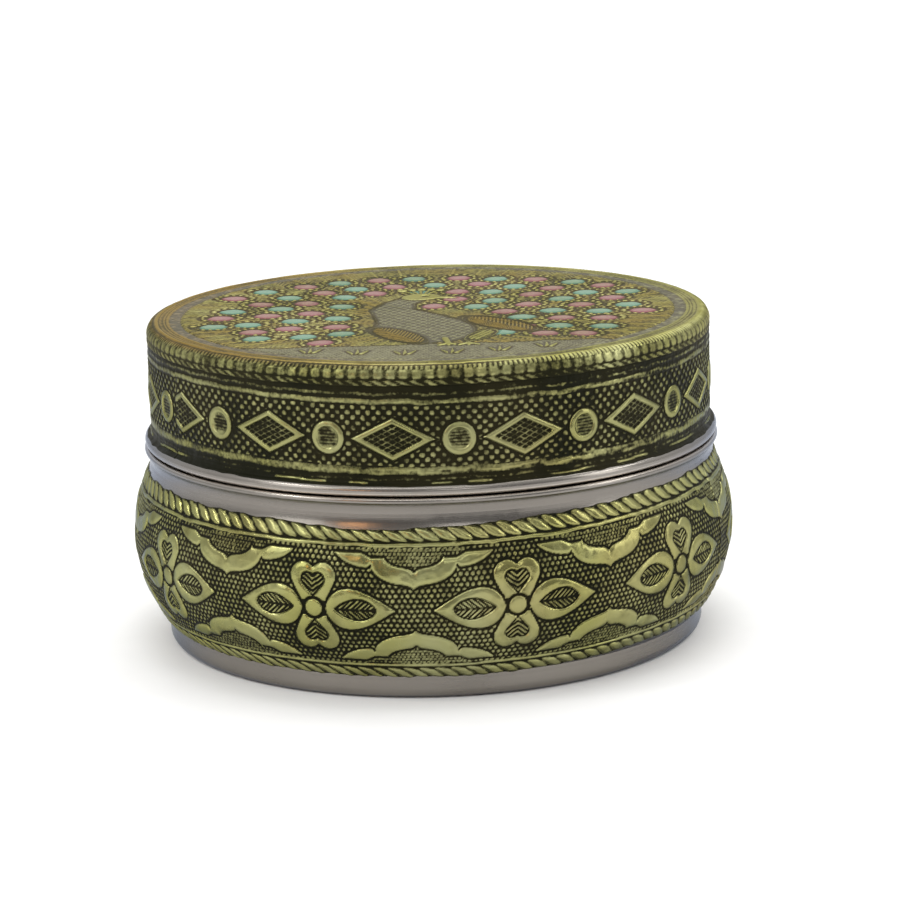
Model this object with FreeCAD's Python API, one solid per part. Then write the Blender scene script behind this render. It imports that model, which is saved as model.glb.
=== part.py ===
"""Round steel spice box: a bellied base, a straight lid, both clad in embossed foil, and inside
seven loose cups under a flat plate with a knob and a spoon. All lengths are in millimetres.
The origin is the centre of the foot's underside, and +Z is up."""
import math
import os

import FreeCAD
import Part
from FreeCAD import Vector

# Sheet and gaps
STEEL = 0.6
CUP_STEEL = 0.5
FOIL = 0.6
GLUE = 0.05
LOOSE = 0.25

# Base bowl, measured on the outside of the steel
PANEL_RISE = 1.0
PANEL_R = 77.0
PANEL_SLOPE = 30.0
FOOT_R = 85.0
FOOT_EDGE_R = 2.8
BELLY_R = 94.55
BELLY_Z = 34.0
BELLY_ARC_R = 42.35
BELLY_TOP_Z = 52.6
SHOULDER_R = 11.0
FLARE_R = 5.2
FLARE_TURN = 40.0
LEDGE_Z = 62.3
LEDGE_EDGE_R = 0.9
NECK_R = 87.0
NECK_FILLET_R = 0.8
NECK_TOP_Z = 77.0

# Lid shell, measured on the outside of the steel
LID_R = 88.0
LID_TOP_Z = 100.75
LID_CORNER_R = 2.8
RIM_FLARE_R = 1.6
RIM_FLARE_TURN = 72.0
RIM_BEAD_R = 1.75
RIM_BEAD_TURN = 190.0
RIM_LAP_TURN = 16.0

# Foil edges
BAND_LOW_Z = 7.6
BAND_LAP_TURN = 15.0
SKIRT_LOW_Z = 95.0

# Cups
CUP_COUNT = 6
CUP_RING_R = 57.4
CUP_FLAT_R = 19.3
CUP_CORNER_R = 5.5
CUP_SLOPE = 2.0
CUP_TOP_Z = 59.6
CUP_CURL_R = 0.45
CUP_CURL_TURN = 215.0

# Inner plate, knob and rivet
PLATE_R = 85.6
PLATE_HEM = 1.4
RIVET_R = 1.5
RIVET_HEAD_R = 3.4
RIVET_HEAD_H = 1.0
RIVET_LENGTH = 8.5
RIVET_GAP = 0.02
KNOB_FLANGE_R = 6.6
KNOB_EDGE_R = 0.6
KNOB_STEM_R = 3.6
KNOB_STEM_FILLET_R = 2.0
KNOB_STEM_RUN = 2.2
KNOB_NECK_R = 2.6
KNOB_HEAD_R = 8.2
KNOB_HEAD_EDGE_R = 1.8
KNOB_HEAD_EDGE_TURN = 145.0

# Spoon, in its own frame: X along the handle, the bowl's lowest point at the origin
SPOON_STEEL = 0.8
SPOON_BALL_R = 15.0
SPOON_MOUTH_ANGLE = 50.0
HANDLE_START_X = 10.6
HANDLE_START_Z = 4.5
HANDLE_RISE_ANGLE = 8.0
HANDLE_TURN = 24.0
HANDLE_ARC_R = 140.0
HANDLE_NECK_W = 5.0
HANDLE_END_W = 9.0
SPOON_AT = (-43.0, -36.0)
SPOON_YAW = -9.0

# Heights worked out from the ones above
FLOOR_Z = PANEL_RISE + STEEL
CUP_BOTTOM_Z = FLOOR_Z + LOOSE
PLATE_Z = CUP_TOP_Z + LOOSE
PLATE_TOP_Z = PLATE_Z + STEEL
SPOON_Z = PLATE_TOP_Z + LOOSE
BELLY_AXIS_R = BELLY_R - BELLY_ARC_R
AXIS = Vector(0, 0, 1)


def cos(degrees):
    return math.cos(math.radians(degrees))


def sin(degrees):
    return math.sin(math.radians(degrees))


class Outline:
    """A line drawn in the XZ plane, from point to point, from its current point and heading.

    Heading 0 points away from the axis and 90 points up. Positive turns are to the left."""

    def __init__(self, r, z, heading=0.0):
        self.r = r
        self.z = z
        self.heading = heading
        self.edges = []

    def to(self, r, z):
        self.edges.append(Part.makeLine(Vector(self.r, 0, self.z), Vector(r, 0, z)))
        self.r = r
        self.z = z
        return self

    def turn(self, degrees):
        self.heading += degrees
        return self

    def run_to_radius(self, r):
        return self.to(r, self.z + (r - self.r) * sin(self.heading) / cos(self.heading))

    def run_to_height(self, z):
        return self.to(self.r + (z - self.z) * cos(self.heading) / sin(self.heading), z)

    def bend(self, radius, degrees):
        """A round stretch that leaves along the heading and turns by the given angle."""
        side = 1 if degrees > 0 else -1
        centre_r = self.r - side * radius * sin(self.heading)
        centre_z = self.z + side * radius * cos(self.heading)

        def point(turned):
            heading = self.heading + turned
            return Vector(centre_r + side * radius * sin(heading), 0,
                          centre_z - side * radius * cos(heading))

        end = point(degrees)
        self.edges.append(Part.Arc(point(0), point(degrees / 2), end).toShape())
        self.r = end.x
        self.z = end.z
        self.heading += degrees
        return self

    def sheet(self, thickness):
        """The section of a sheet that has this line as its right-hand side."""
        mitre = 2
        return Part.Wire(self.edges).makeOffset2D(thickness, mitre, True, True, False)

    def section(self, r, z):
        """The section inside this line, closed back to its first point."""
        self.to(r, z)
        return Part.Face(Part.Wire(self.edges))


def turned(section):
    """The solid that a section sweeps when it goes once round the axis."""
    return section.revolve(Vector(0, 0, 0), AXIS, 360)


def belly_angle(z, arc_r):
    """Where on a belly arc a height lies, in degrees above the belly's widest point."""
    return math.degrees(math.asin((z - BELLY_Z) / arc_r))


def base_bowl():
    """Foot, belly, shoulder, the ledge that the lid stands on, and the neck inside the lid."""
    crease = -math.degrees(math.acos((FOOT_R - BELLY_AXIS_R) / BELLY_ARC_R))
    belly_top = belly_angle(BELLY_TOP_Z, BELLY_ARC_R)
    ledge_turn = 90 + FLARE_TURN
    flare_z = LEDGE_Z - FLARE_R * sin(FLARE_TURN) - LEDGE_EDGE_R * (1 + sin(FLARE_TURN))
    line = Outline(0, PANEL_RISE)
    line.run_to_radius(PANEL_R - PANEL_RISE / math.tan(math.radians(PANEL_SLOPE)))
    line.turn(-PANEL_SLOPE).run_to_height(0).turn(PANEL_SLOPE)
    line.run_to_radius(FOOT_R - FOOT_EDGE_R).bend(FOOT_EDGE_R, 90)
    line.run_to_height(BELLY_Z + BELLY_ARC_R * sin(crease)).turn(crease)
    line.bend(BELLY_ARC_R, belly_top - crease).bend(SHOULDER_R, -belly_top)
    line.run_to_height(flare_z).bend(FLARE_R, -FLARE_TURN).bend(LEDGE_EDGE_R, ledge_turn)
    line.run_to_radius(NECK_R + NECK_FILLET_R).bend(NECK_FILLET_R, -90)
    line.run_to_height(NECK_TOP_Z)
    return turned(line.sheet(STEEL))


def base_foil_band():
    """The embossed strip round the belly, at its full relief. Its top laps onto the shoulder."""
    proud = GLUE + FOIL
    outside_r = BELLY_ARC_R + proud
    low = belly_angle(BAND_LOW_Z, outside_r)
    high = belly_angle(BELLY_TOP_Z, BELLY_ARC_R)
    line = Outline(BELLY_AXIS_R + outside_r * cos(low), BELLY_Z + outside_r * sin(low), low + 90)
    line.bend(outside_r, high - low).bend(SHOULDER_R - proud, -BAND_LAP_TURN)
    return turned(line.sheet(FOIL))


def rim_flare_z():
    """The height where the lid's wall starts to flare out into its rim bead."""
    bead_z = LEDGE_Z + LOOSE + RIM_BEAD_R
    return bead_z + RIM_BEAD_R * sin(RIM_FLARE_TURN) + RIM_FLARE_R * sin(RIM_FLARE_TURN)


def lid_shell():
    """Flat top, rounded corner, straight wall and a rim rolled out and under."""
    line = Outline(0, LID_TOP_Z).run_to_radius(LID_R - LID_CORNER_R)
    line.bend(LID_CORNER_R, -90).run_to_height(rim_flare_z())
    line.bend(RIM_FLARE_R, RIM_FLARE_TURN).bend(RIM_BEAD_R, -RIM_BEAD_TURN)
    return turned(line.sheet(-STEEL))


def lid_side_foil():
    """The embossed strip round the lid's wall. Its lower edge just laps onto the rim bead."""
    line = Outline(LID_R + GLUE, SKIRT_LOW_Z - GLUE, -90).run_to_height(rim_flare_z())
    line.bend(RIM_FLARE_R - GLUE, RIM_FLARE_TURN).bend(RIM_BEAD_R + GLUE, -RIM_LAP_TURN)
    return turned(line.sheet(FOIL))


def lid_top_foil():
    """The embossed round on the lid's top, folded over the corner into a short skirt."""
    line = Outline(0, LID_TOP_Z + GLUE).run_to_radius(LID_R - LID_CORNER_R)
    line.bend(LID_CORNER_R + GLUE, -90).run_to_height(SKIRT_LOW_Z)
    return turned(line.sheet(FOIL))


def cup():
    """A spun cup with a round corner, a slightly flared wall and an outward curl."""
    line = Outline(0, CUP_BOTTOM_Z).run_to_radius(CUP_FLAT_R)
    line.bend(CUP_CORNER_R, 90 - CUP_SLOPE)
    line.run_to_height(CUP_TOP_Z - CUP_STEEL - CUP_CURL_R * (1 - sin(CUP_SLOPE)))
    line.bend(CUP_CURL_R, -CUP_CURL_TURN)
    return turned(line.sheet(CUP_STEEL))


def inner_plate():
    """A flat disc with a doubled edge and a hole for the knob's rivet."""
    hole_r = RIVET_R + RIVET_GAP
    line = Outline(hole_r, PLATE_Z).run_to_radius(PLATE_R - STEEL).bend(STEEL, 180)
    line.run_to_radius(PLATE_R - PLATE_HEM).to(line.r, PLATE_TOP_Z).to(hole_r, PLATE_TOP_Z)
    return turned(line.section(hole_r, PLATE_Z))


def plate_knob():
    """A turned knob: flange, waist and a domed head, bored from below for the rivet."""
    bore_r = RIVET_R + RIVET_GAP
    line = Outline(bore_r, PLATE_TOP_Z).run_to_radius(KNOB_FLANGE_R - KNOB_EDGE_R)
    line.bend(KNOB_EDGE_R, 180).run_to_radius(KNOB_STEM_R + KNOB_STEM_FILLET_R)
    line.bend(KNOB_STEM_FILLET_R, -90).run_to_height(line.z + KNOB_STEM_RUN)
    line.bend(KNOB_NECK_R, -90).run_to_radius(KNOB_HEAD_R - KNOB_HEAD_EDGE_R)
    line.bend(KNOB_HEAD_EDGE_R, KNOB_HEAD_EDGE_TURN)
    dome_turn = 180 - KNOB_HEAD_EDGE_TURN
    line.bend(line.r / sin(dome_turn), dome_turn)
    line.to(0, PLATE_TOP_Z + RIVET_LENGTH + RIVET_GAP).to(bore_r, line.z)
    return turned(line.section(bore_r, PLATE_TOP_Z))


def knob_rivet():
    """A rivet up through the plate into the knob, with a flat head below the plate."""
    head_z = PLATE_Z - RIVET_GAP
    line = Outline(0, head_z - RIVET_HEAD_H).to(RIVET_HEAD_R, head_z - RIVET_HEAD_H)
    line.to(RIVET_HEAD_R, head_z).to(RIVET_R, head_z).to(RIVET_R, PLATE_TOP_Z + RIVET_LENGTH)
    line.to(0, line.z)
    return turned(line.section(0, head_z - RIVET_HEAD_H))


def handle_plan():
    """The handle seen from above: narrow at the bowl, wide and round at its end."""
    arc_span = sin(HANDLE_RISE_ANGLE) + sin(HANDLE_TURN - HANDLE_RISE_ANGLE)
    neck = HANDLE_NECK_W / 2
    end = HANDLE_END_W / 2
    tip_x = HANDLE_START_X + HANDLE_ARC_R * arc_span
    corners = [Vector(tip_x - end, end, 0), Vector(HANDLE_START_X, neck, 0),
               Vector(HANDLE_START_X, -neck, 0), Vector(tip_x - end, -end, 0)]
    sides = [Part.makeLine(*pair) for pair in zip(corners, corners[1:])]
    tip = Part.Arc(corners[3], Vector(tip_x, 0, 0), corners[0]).toShape()
    return Part.Face(Part.Wire(sides + [tip]))


def spoon():
    """A pressed spoon: a shallow round bowl and a bowed flat handle."""
    bowl_line = Outline(0, 0).bend(SPOON_BALL_R, SPOON_MOUTH_ANGLE)
    bowl = turned(bowl_line.sheet(SPOON_STEEL))
    bow = Outline(HANDLE_START_X, HANDLE_START_Z, HANDLE_RISE_ANGLE)
    bow.bend(HANDLE_ARC_R, -HANDLE_TURN)
    strip = bow.sheet(SPOON_STEEL).extrude(Vector(0, HANDLE_END_W, 0))
    strip.translate(Vector(0, -HANDLE_END_W / 2, 0))
    tall_plan = handle_plan().extrude(Vector(0, 0, SPOON_BALL_R))
    shape = bowl.fuse(strip.common(tall_plan)).removeSplitter()
    shape.rotate(Vector(0, 0, 0), AXIS, SPOON_YAW)
    shape.translate(Vector(SPOON_AT[0], SPOON_AT[1], SPOON_Z))
    return shape.Solids[0]


def ring_cup(index):
    """One of the cups round the middle one."""
    angle = 360 / CUP_COUNT * index
    shape = cup()
    shape.translate(Vector(CUP_RING_R * cos(angle), CUP_RING_R * sin(angle), 0))
    return shape


def main():
    parts = {
        "base_bowl": base_bowl(),
        "base_foil_band": base_foil_band(),
        "lid_shell": lid_shell(),
        "lid_side_foil": lid_side_foil(),
        "lid_top_foil": lid_top_foil(),
        "inner_plate": inner_plate(),
        "plate_knob": plate_knob(),
        "knob_rivet": knob_rivet(),
        "spoon": spoon(),
        "cup_center": cup(),
    }
    for index in range(CUP_COUNT):
        parts[f"cup_{index + 1}"] = ring_cup(index)
    os.makedirs("parts", exist_ok=True)
    for name, shape in parts.items():
        box = shape.BoundBox
        print(f"{name}: valid {shape.isValid()}, {len(shape.Solids)} solid, "
              f"{shape.Volume:.0f} mm3, z {box.ZMin:.2f} to {box.ZMax:.2f}, x to {box.XMax:.2f}")
        shape.exportStep(f"parts/{name}.step")


main()
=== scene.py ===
"""Looks for the round spice box: embossed foils built as relief meshes, steel, enamel and light.

Lengths are in millimetres. Only the materials, the lamps' own sizes, the floor and the camera's
far limit are in metres."""
import math

import bpy
import numpy as np
from mathutils import Matrix, Vector


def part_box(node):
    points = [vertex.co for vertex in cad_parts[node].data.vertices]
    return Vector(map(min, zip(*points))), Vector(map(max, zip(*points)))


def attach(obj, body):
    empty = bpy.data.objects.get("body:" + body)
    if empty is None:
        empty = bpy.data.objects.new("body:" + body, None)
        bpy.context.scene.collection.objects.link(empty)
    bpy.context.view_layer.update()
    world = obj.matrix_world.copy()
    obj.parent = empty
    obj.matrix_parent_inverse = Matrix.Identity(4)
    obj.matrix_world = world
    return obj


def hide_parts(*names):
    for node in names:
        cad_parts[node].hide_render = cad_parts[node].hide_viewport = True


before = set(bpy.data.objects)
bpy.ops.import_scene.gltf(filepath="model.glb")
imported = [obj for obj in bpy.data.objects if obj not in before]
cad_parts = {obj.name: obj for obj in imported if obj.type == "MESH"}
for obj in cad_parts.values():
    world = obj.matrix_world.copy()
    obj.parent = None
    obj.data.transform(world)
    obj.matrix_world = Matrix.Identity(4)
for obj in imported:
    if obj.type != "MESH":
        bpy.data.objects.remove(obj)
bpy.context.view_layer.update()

MM = 0.001
TURN = 2 * math.pi


def size_of(node):
    """A node's lowest and highest corner, in millimetres."""
    low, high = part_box(node)
    return low / MM, high / MM


# ---------------------------------------------------------------- sizes taken from the frame
BAND_R = size_of("base_foil_band")[1].x
TOP_LOW, TOP_HIGH = size_of("lid_top_foil")
RELIEF = 0.6                    # full height of the foil's relief
FILM = 0.05                     # glue under the foil

# Belly: one round arc seen from the side, then the shoulder's hollow arc
BELLY_Z = 34.0                  # the widest line
BELLY_STEEL_ARC = 42.35
BELLY_RISE = 18.6               # the arc ends this far above the widest line
BELLY_ARC = BELLY_STEEL_ARC + FILM
BELLY_AXIS = BAND_R - RELIEF - BELLY_ARC
BELLY_END = math.asin(BELLY_RISE / BELLY_STEEL_ARC)
SHOULDER_ARC = 11.0 - FILM

# Lid: wall, corner and the flare above the rim bead
LID_R = TOP_HIGH.x - RELIEF
LID_MID_R = LID_R + RELIEF / 2
LID_TOP = TOP_HIGH.z - RELIEF
CORNER = 2.85
SKIRT_Z = TOP_LOW.z
FLARE_Z = 67.49                 # below this the lid flares out to its rim bead
FLARE_ARC, FLARE_END = 1.55, math.radians(72)
BEAD_ARC = 1.80


# ---------------------------------------------------------------- drawing helpers
def smooth(low, high, x):
    """0 below low, 1 above high, and an even curve between."""
    t = np.clip((x - low) / (high - low), 0, 1)
    return t * t * (3 - 2 * t)


def blend(a, b, share):
    """a where share is 0, b where it is 1."""
    return a + (b - a) * share


def waves(x, y, size, seed):
    """Smooth random values from -1 to 1, with features of about the given size."""
    count = 97
    table = np.random.default_rng(seed).uniform(-1, 1, (count, count))
    column, row = np.floor(x / size).astype(int), np.floor(y / size).astype(int)
    across, up = smooth(0, 1, x / size - column), smooth(0, 1, y / size - row)
    left, right = column % count, (column + 1) % count
    below, above = row % count, (row + 1) % count
    low = blend(table[below, left], table[below, right], across)
    high = blend(table[above, left], table[above, right], across)
    return blend(low, high, up)


def depth_inside(shape, step_u, step_v):
    """Turns any field that is positive inside a shape into millimetres from its outline."""
    along_v, along_u = np.gradient(shape, step_v, step_u)
    return shape / np.maximum(np.hypot(along_u, along_v), 0.25)


def ridge(x, half):
    """A round ridge of the given half-width about x = 0."""
    return np.sqrt(np.clip(1 - (x / half) ** 2, 0, 1))


def repeat(x, pitch):
    """x measured from the nearest of marks set at the given pitch."""
    return x - pitch * np.round(x / pitch)


def dots(u, v, pitch_u, pitch_v, radius):
    """Round-headed dots in staggered rows."""
    row = np.round(v / pitch_v)
    across = repeat(u - (row % 2) * pitch_u / 2, pitch_u)
    return ridge(np.hypot(across, v - row * pitch_v), radius)


def groove(relief, inside, width=0.6):
    """Presses a dark groove round the outside of a shape."""
    return relief * smooth(0, width, -inside - 0.2)


def scales(u, v, wide, tall):
    """Overlapping scales in staggered rows: each one stands up towards its rounded edge."""
    row = np.floor(v / tall)
    near = np.hypot(repeat(u - (row % 2) * wide / 2, wide) / (wide / 2), v / tall - row)
    row = row + 1
    next_row = np.hypot(repeat(u - (row % 2) * wide / 2, wide) / (wide / 2), row - v / tall)
    return smooth(0.35, 0.9, np.where(near < 1, near, 0.6 * next_row))


def plateau(relief, inside, top=0.8, crown=0.2, bevel=1.3, edge=0.42):
    """Raises a polished, slightly crowned area."""
    level = top + crown * smooth(0, bevel, inside)
    return blend(groove(relief, inside), level, smooth(-edge / 2, edge / 2, inside))


def leaf_width(t, grow, taper):
    """Half-width of a leaf at t, from 0 at its stalk to 1 at its tip, as a share of its widest."""
    t = np.clip(t, 0, 1)
    peak = grow / (grow + taper)
    return t ** grow * (1 - t) ** taper / (peak ** grow * (1 - peak) ** taper)


# ---------------------------------------------------------------- belly strip
MOTIF = 61.4                    # one flower and one pair of swags
DOT_U, DOT_V, DOT_R = 1.75, 1.52, 0.76                  # spacings and radius of the ground's dots
STIPPLE_U, STIPPLE_V, STIPPLE_R = 1.25, 1.05, 0.6       # and of the smaller ones in the swags
STEP_U, STEP_V = DOT_U / 4, DOT_V / 4
BOSS_R = 2.7                    # the flower's middle
PETAL_VEIN_PITCH, PETAL_VEIN_LEAN = 1.55, 1.1
HEART_VEIN_PITCH, HEART_VEIN_LEAN = 1.45, 0.75
HEART_START = 2.3               # the hearts begin this far from the boss's middle
LINE_V, LINE_HALF = 18.7, 0.7   # the plain line that the swags hang from
ROPE_V = LINE_V + 4.05
ROPE_PITCH, ROPE_HALF = 5.0, 2.45
STRIP_V = 25.25                 # half the strip's width
BAND_SHIFT = 3.9                # the strip's middle lies this far below the widest line
END_RISE = 2.3                  # how far the strip climbs towards the seam on the right
PINCH = 0.27                    # how much its upper edge is drawn in at one place
PINCH_AT, PINCH_HALF = -0.2, 0.22       # that place and its half-width, in radians
BAND_SEAM = math.radians(68.5) * BAND_R
BAND_FLOWER = math.radians(-22.3) * BAND_R


def leaf_level(veins, inside):
    """The level of a sunken, veined leaf: veins stand up in it, away from its outline."""
    return 0.08 + 0.56 * veins * smooth(0.4, 0.8, inside)


def petals(relief, x, y):
    """The two pointed side petals, x away from the boss."""
    start, length, half = 3.8, 21.6, 6.35
    outline = half * leaf_width((x - start) / length, grow=0.62, taper=1.2) - y
    inside = np.where(x > start, depth_inside(outline, STEP_U, STEP_V), -1.0)
    inside = np.minimum(inside, start + length - x)
    relief = plateau(relief, inside, top=0.72, crown=0.28, bevel=1.9)
    start, length, half = 6.2, 13.4, 3.55
    outline = half * leaf_width((x - start) / length, grow=0.95, taper=0.7) - y
    within = (x > start) & (x < start + length)
    inside = np.where(within, depth_inside(outline, STEP_U, STEP_V), -1.0)
    veins = np.cos(TURN * (x - PETAL_VEIN_LEAN * y) / PETAL_VEIN_PITCH)
    veins = smooth(-0.3, 0.4, veins) * smooth(0.1, 0.3, np.abs(y))
    return blend(relief, leaf_level(veins, inside), smooth(-0.1, 0.35, inside))


def heart(x, y, lobe, radius, height, slope, notch):
    """Depth inside a heart that points down: two lobes, and the sides that touch them."""
    lobes = radius - np.hypot(x - lobe, y - height)
    steep = math.hypot(1, slope)
    side = (lobe - x - (height - y) * slope) / steep + radius
    side = np.where(y < height - radius * slope / steep, side, lobe - x)
    return np.maximum(lobes, np.minimum(side, notch - y))


def hearts(relief, x, y):
    """The two heart-shaped petals, y away from the boss."""
    outline = heart(x, y, lobe=3.2, radius=3.95, height=9.7, slope=0.5, notch=12.3)
    outline = np.minimum(outline, y - HEART_START)
    relief = plateau(relief, outline, top=0.72, crown=0.28, bevel=1.7)
    inside = heart(x, y, lobe=1.65, radius=2.35, height=8.6, slope=0.85, notch=10.5)
    veins = smooth(-0.3, 0.4, np.cos(TURN * (y - HEART_VEIN_LEAN * x) / HEART_VEIN_PITCH))
    return blend(relief, leaf_level(veins, inside), smooth(-0.1, 0.35, inside))


def swag(relief, q, t, stipple):
    """The scalloped swag under the plain line: q from its middle, t down from the line."""
    bowl_end, leaf_end, mouth, hollow_end = 12.7, 24.6, 9.2, 17

    # Its lower edge: a bowl with a cusp in the middle, then a leaf behind a notch
    cusp = 1.5 * np.exp(-q / 1.2)
    bowl = 5.4 + 5.5 * np.clip(1 - (q / bowl_end) ** 2.6, 0, 1) ** 0.6 + cusp
    along = np.clip((q - bowl_end) / (leaf_end - bowl_end), 0, 1)
    notch = 1.1 * np.exp(-((along / 0.06) ** 2))
    leaf = 0.6 + 5.4 * np.clip(1 - along ** 2.3, 0, 1) ** 0.75 - notch
    lower = np.where(q < bowl_end, bowl, leaf) - t

    # Its upper edge round the stippled hollow
    inner = 2.1 + 3.9 * np.clip(1 - (q / mouth) ** 2.8, 0, 1) ** 0.6 + 1.5 * np.exp(-q)
    shelf = 1.5 + 1.5 * smooth(16.5, 12.5, q)
    upper = t - np.where(q < mouth, inner, shelf)

    inside = depth_inside(np.minimum(lower, upper), STEP_U, STEP_V)
    inside = np.minimum(inside, (leaf_end - q) * 0.4)
    hollow = (upper < 0) & (q < hollow_end) & (t > 0.5)
    relief = np.where(hollow, 0.14 + 0.4 * stipple, relief)
    return plateau(relief, inside)


def rope(u, v, pitch, half, lean):
    """A twisted rope about v = 0. Its round-ended strands lean down to the right."""
    w = np.clip(v / half, -1, 1)
    phase = repeat(u + lean * v + 0.35 * lean * half * w ** 3, pitch) / (pitch / 2)
    return np.clip(1.04 - phase ** 2 - 0.95 * w ** 4, 0, 1) ** 0.75


def belly_relief(u, v):
    """The belly strip's relief, 0 to 1. v = 0 is the strip's middle."""
    p = repeat(u, MOTIF)
    x, y = np.abs(p), np.abs(v)
    jitter = waves(u, v, 2.2, 11)
    stipple_v = v + 0.1 * waves(u, v, 1.5, 12)
    stipple = dots(u + 0.15 * jitter, stipple_v, STIPPLE_U, STIPPLE_V, STIPPLE_R)
    ground = dots(u + 0.13 * jitter, v + 0.13 * waves(u, v, 3.0, 14), DOT_U, DOT_V, DOT_R)
    relief = 0.08 + (0.5 + 0.08 * jitter) * ground
    relief = swag(relief, MOTIF / 2 - x, LINE_V - y, stipple)
    relief = hearts(relief, x, y)
    relief = petals(relief, x, y)
    boss = BOSS_R - np.hypot(x, y)
    relief = relief * smooth(0.6, 1.05, -boss)
    crown = 0.6 + 0.4 * ridge(BOSS_R - boss, 3.0)
    relief = np.maximum(relief, crown * smooth(-0.25, 0.25, boss))
    wander = 0.2 * waves(u, np.sign(v) * 50, 6.0, 13)
    margin = y > LINE_V - 0.15 - np.abs(wander)
    edge = (0.85 + 0.1 * jitter) * ridge(y - LINE_V - LINE_HALF + 0.06 * jitter + wander, 0.66)
    strands = rope(u + 0.7 * wander, v - np.sign(v) * ROPE_V, ROPE_PITCH, ROPE_HALF, lean=0.95)
    edge = np.maximum(edge, strands)
    edge = np.maximum(edge, 0.3 * ridge(y - STRIP_V + 0.2, 0.45))
    relief = np.where(margin, edge, relief)
    press = 1 - 0.10 * smooth(-0.2, 0.9, waves(u, v, 14.0, 15))
    return np.clip(relief * press, 0, 1)


def belly_place(u, v, height):
    """Where a point of the belly strip lies. height starts on top of the glue."""
    azimuth = u / BAND_R
    from_seam = np.abs(repeat(u - BAND_SEAM, TURN * BAND_R))
    near_seam = smooth(BAND_SEAM, 0, from_seam)
    pinch = PINCH * np.exp(-(((azimuth - PINCH_AT) / PINCH_HALF) ** 2))
    v = v - pinch * np.clip(v - LINE_V - 1.2, 0, None)
    s = v - BAND_SHIFT - 0.3 * np.cos(2 * azimuth) + END_RISE * near_seam
    angle = s / BELLY_ARC
    out = np.clip(angle, None, BELLY_END)
    r = BELLY_AXIS + (BELLY_ARC + height) * np.cos(out)
    z = BELLY_Z + (BELLY_ARC + height) * np.sin(out)
    beyond = np.clip(s - BELLY_END * BELLY_ARC, 0, None) / SHOULDER_ARC
    lean = BELLY_END - beyond
    hub = BELLY_ARC + SHOULDER_ARC
    hub_r = BELLY_AXIS + hub * math.cos(BELLY_END)
    hub_z = BELLY_Z + hub * math.sin(BELLY_END)
    over = beyond > 0
    r = np.where(over, hub_r - (SHOULDER_ARC - height) * np.cos(lean), r)
    z = np.where(over, hub_z - (SHOULDER_ARC - height) * np.sin(lean), z)
    return around(azimuth, r, z)


def around(azimuth, r, z):
    """Points on a ring: azimuth 0 faces the camera's side, and grows to the right."""
    return np.stack([r * np.sin(azimuth), -r * np.cos(azimuth), z], -1)


# ---------------------------------------------------------------- lid side strip
LID_MOTIF = 38.9                # one diamond and one disc
LID_MIDDLE_Z = 80.1             # where v = 0
LID_FOOT_Z = FLARE_Z - 2.45     # the strip's lower edge, as if the flare were unrolled
LID_TUCK = 0.35                 # how far the strip goes up under the top foil's skirt
LID_SEAM = math.radians(-60.4) * LID_MID_R
LID_SLIP = -20.5                # the back strip's pattern is this far out of step
LID_DIAMOND = math.radians(5.3) * LID_MID_R
LID_DOT_U, LID_DOT_V, LID_DOT_R = 3.1, 1.56, 0.96       # spacings and radius of the dots
LID_STEP_U, LID_STEP_V = LID_DOT_U / 10, LID_DOT_V / 5
DISC_R = 4.95                   # the round bosses between the diamonds
SCRATCH_PITCH = 0.95            # of the lines across a disc
DIAMOND_U, DIAMOND_V = 12.4, 6.4        # half a diamond's length and height
MESH_PITCH, MESH_HALF = 1.42, 0.28      # the crossed lines inside it
LINING, LINING_V = 0.26, -12.4  # least height below this line, over the lid's flare

# Raised lines along the strip: middle, half-width, level and how broken up each one is
LID_LINES = ((-9.4, 1.5, 0.5, 0.22), (11.1, 1.0, 0.49, 0.2), (13.3, 0.7, 0.36, 0.2),
             (-11.9, 0.6, 0.3, 0.18))

FOOT_LINE_V = -13.2             # the patchy line along the lower edge


def discs(relief, u, v):
    """The round bosses between the diamonds, worn and scratched in the middle."""
    x, y = np.abs(repeat(u, LID_MOTIF)), np.abs(v)
    disc = DISC_R - np.hypot(x, y)
    relief = plateau(relief, disc)
    scratch = np.cos(TURN * v / SCRATCH_PITCH) + 0.9 * waves(u, v * 4, 2.0, 23)
    scratch = smooth(-0.4, 0.6, scratch)
    worn = smooth(4.1, 2.2, np.hypot(x, y * 1.05) + 1.1 * waves(u, v, 2.6, 24))
    deep = smooth(0.2, 0.8, waves(u, v * 0, 24.0, 18))
    centre = 0.6 - worn * (0.21 + 0.17 * scratch + 0.15 * deep)
    return blend(relief, centre, smooth(1.4, 1.9, disc))


def diamonds(relief, u, v, jitter):
    """The diamonds, each one filled with crossed lines."""
    q = LID_MOTIF / 2 - np.abs(repeat(u, LID_MOTIF))
    scale = 1 / math.hypot(1 / DIAMOND_U, 1 / DIAMOND_V)
    diamond = (1 - q / DIAMOND_U - np.abs(v) / DIAMOND_V) * scale
    relief = plateau(relief, diamond, bevel=0.8)
    side_q = repeat(u - LID_MOTIF / 2, LID_MOTIF)
    rising = repeat((side_q / DIAMOND_U + v / DIAMOND_V) * scale, MESH_PITCH)
    falling = repeat((side_q / DIAMOND_U - v / DIAMOND_V) * scale, MESH_PITCH)
    mesh = np.maximum(ridge(rising, MESH_HALF), ridge(falling, MESH_HALF))
    return blend(relief, 0.04 + (0.36 + 0.08 * jitter) * mesh, smooth(1.4, 1.75, diamond))


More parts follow.
